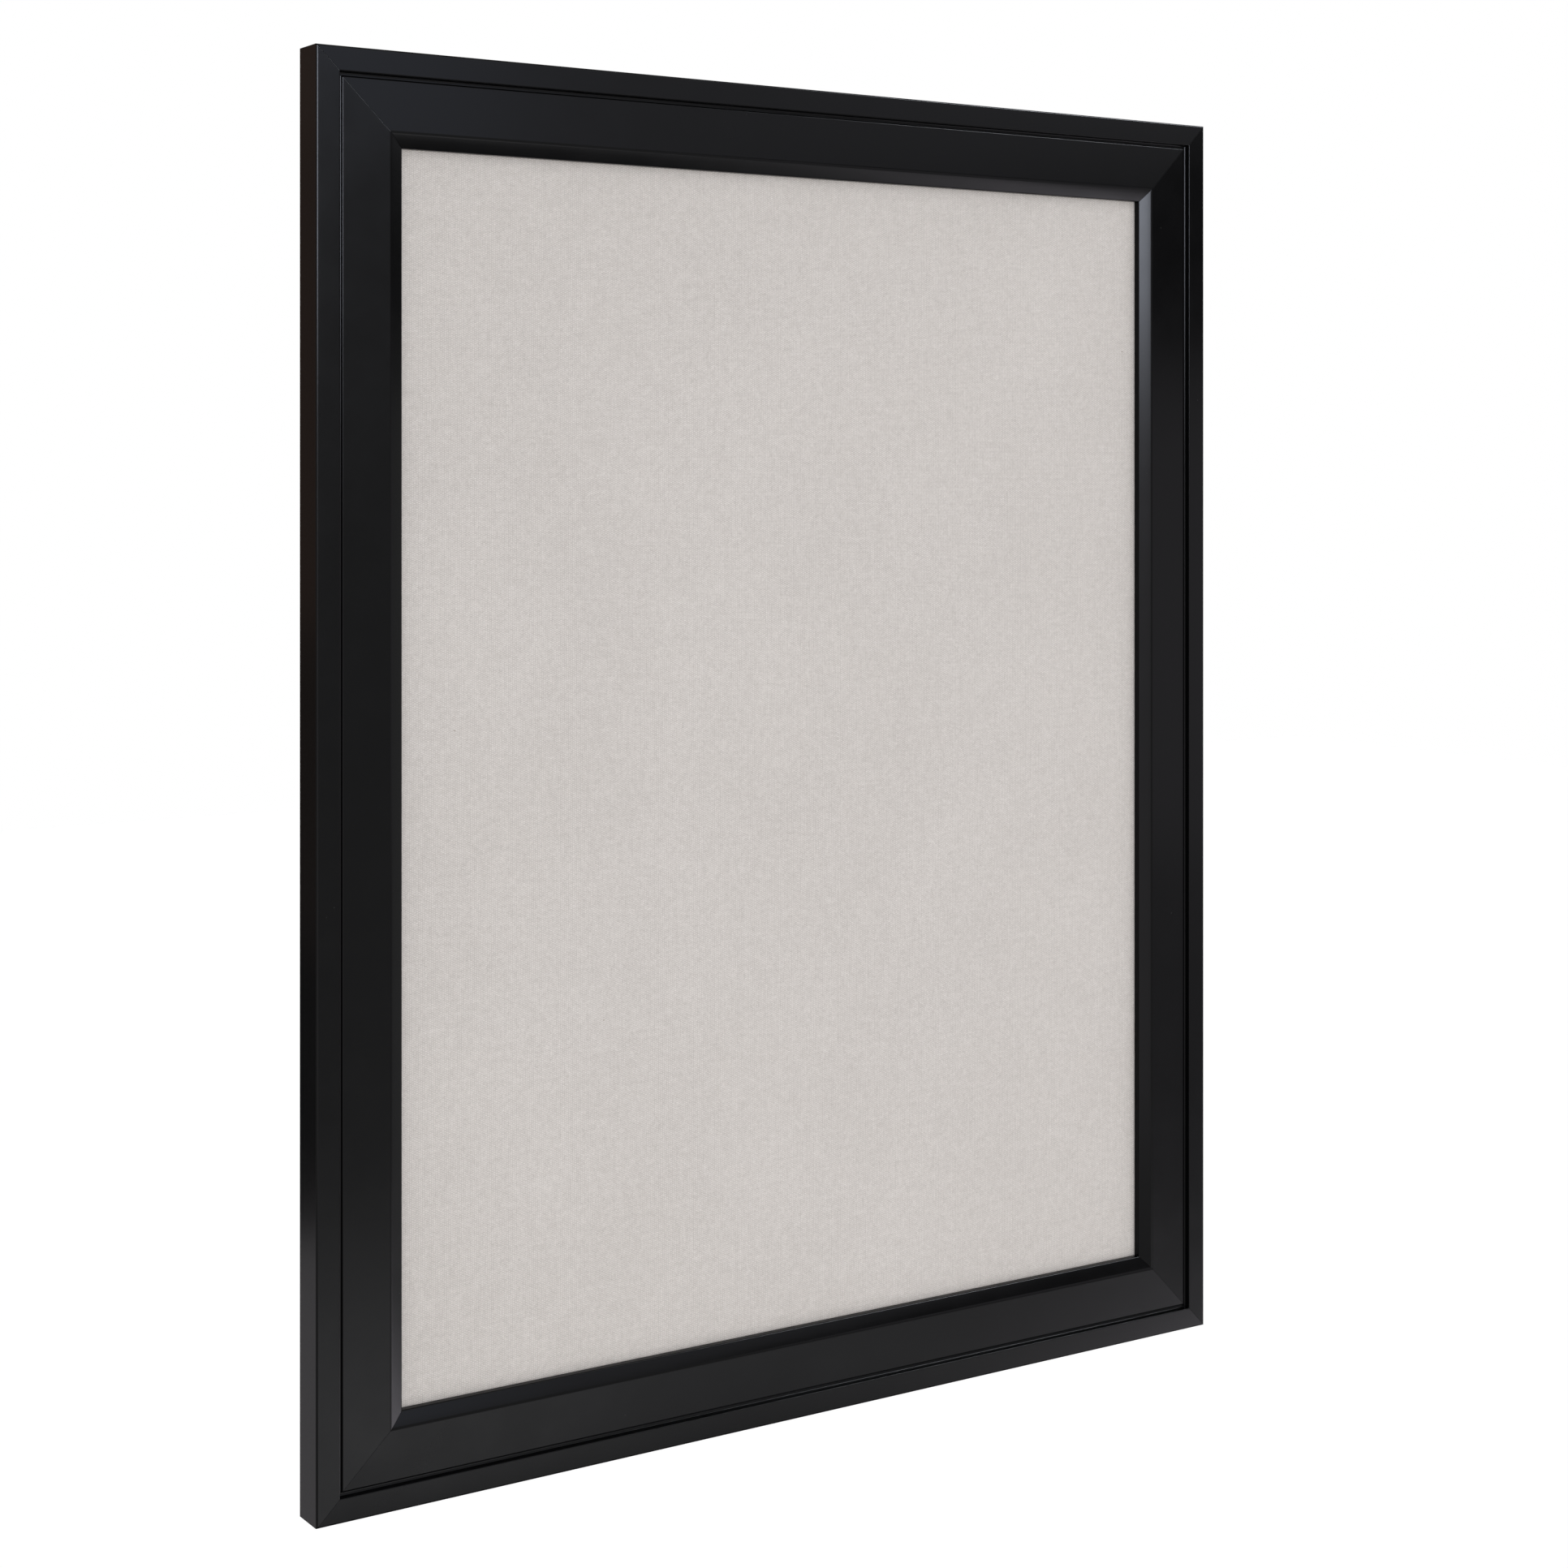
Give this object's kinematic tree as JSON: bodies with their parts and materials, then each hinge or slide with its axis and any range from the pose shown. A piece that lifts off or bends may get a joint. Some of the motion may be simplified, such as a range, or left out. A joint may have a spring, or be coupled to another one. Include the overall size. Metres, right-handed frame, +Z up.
{
  "type": "pin board",
  "caption": "Framed linen-covered pin board with a stepped, mitred moulding, hung upright or sideways on a wall by fold-flat ring hangers.",
  "frame": {"origin": "on the wall plane, midway between the two hooks that carry the rings of the upright board", "axes": "+Z up along the stiles, +Y towards the wall (the linen faces -Y), +X to the right of someone who faces the linen"},
  "size_m": [0.5968, 0.0255, 0.7493],
  "materials": {
    "frame_lacquer": "satin black lacquer over composite wood moulding",
    "linen": "plain-weave natural linen, pale greige",
    "fibreboard": "soft pinnable fibreboard",
    "hardboard": "smooth brown hardboard",
    "zinc_steel": "bright zinc-plated steel",
    "rubber": "matt black rubber"
  },
  "bodies": {
    "board": {"frame_rail_top": "frame_lacquer", "frame_rail_bottom": "frame_lacquer", "frame_stile_left": "frame_lacquer", "frame_stile_right": "frame_lacquer", "linen_cover": "linen", "pin_panel": "fibreboard", "backing_board": "hardboard", "v_nail_top_left_1": "zinc_steel", "v_nail_top_left_2": "zinc_steel", "v_nail_top_right_1": "zinc_steel", "v_nail_top_right_2": "zinc_steel", "v_nail_bottom_right_1": "zinc_steel", "v_nail_bottom_right_2": "zinc_steel", "v_nail_bottom_left_1": "zinc_steel", "v_nail_bottom_left_2": "zinc_steel", "frame_point_rail_top_1": "zinc_steel", "frame_point_rail_top_2": "zinc_steel", "frame_point_rail_top_3": "zinc_steel", "frame_point_stile_right_1": "zinc_steel", "frame_point_stile_right_2": "zinc_steel", "frame_point_stile_right_3": "zinc_steel", "frame_point_stile_right_4": "zinc_steel", "frame_point_rail_bottom_1": "zinc_steel", "frame_point_rail_bottom_2": "zinc_steel", "frame_point_rail_bottom_3": "zinc_steel", "frame_point_stile_left_1": "zinc_steel", "frame_point_stile_left_2": "zinc_steel", "frame_point_stile_left_3": "zinc_steel", "frame_point_stile_left_4": "zinc_steel", "wall_bumper_top_left": "rubber", "wall_bumper_top_right": "rubber", "wall_bumper_bottom_left": "rubber", "wall_bumper_bottom_right": "rubber", "hanger_strap_portrait_left": "zinc_steel", "hanger_strap_portrait_right": "zinc_steel", "hanger_strap_landscape_upper": "zinc_steel", "hanger_strap_landscape_lower": "zinc_steel", "hanger_screw_portrait_left": "zinc_steel", "hanger_screw_portrait_right": "zinc_steel", "hanger_screw_landscape_upper": "zinc_steel", "hanger_screw_landscape_lower": "zinc_steel"},
    "ring_portrait_left": {"hanger_ring_portrait_left": "zinc_steel"},
    "ring_portrait_right": {"hanger_ring_portrait_right": "zinc_steel"},
    "ring_landscape_upper": {"hanger_ring_landscape_upper": "zinc_steel"},
    "ring_landscape_lower": {"hanger_ring_landscape_lower": "zinc_steel"}
  },
  "joints": [
    {"name": "ring_portrait_left_swing", "type": "hinge", "parent": "board", "child": "ring_portrait_left", "pos_m": [-0.27695, -0.00215, -0.0105], "axis": [1, 0, 0], "range_deg": [0, 176]},
    {"name": "ring_portrait_right_swing", "type": "hinge", "parent": "board", "child": "ring_portrait_right", "pos_m": [0.27695, -0.00215, -0.0105], "axis": [1, 0, 0], "range_deg": [0, 176]},
    {"name": "ring_landscape_upper_swing", "type": "hinge", "parent": "board", "child": "ring_landscape_upper", "pos_m": [-0.17907, -0.00215, 0.11786], "axis": [0, 0, 1], "range_deg": [0, 176]},
    {"name": "ring_landscape_lower_swing", "type": "hinge", "parent": "board", "child": "ring_landscape_lower", "pos_m": [-0.17907, -0.00215, -0.58844], "axis": [0, 0, 1], "range_deg": [0, 176]}
  ]
}
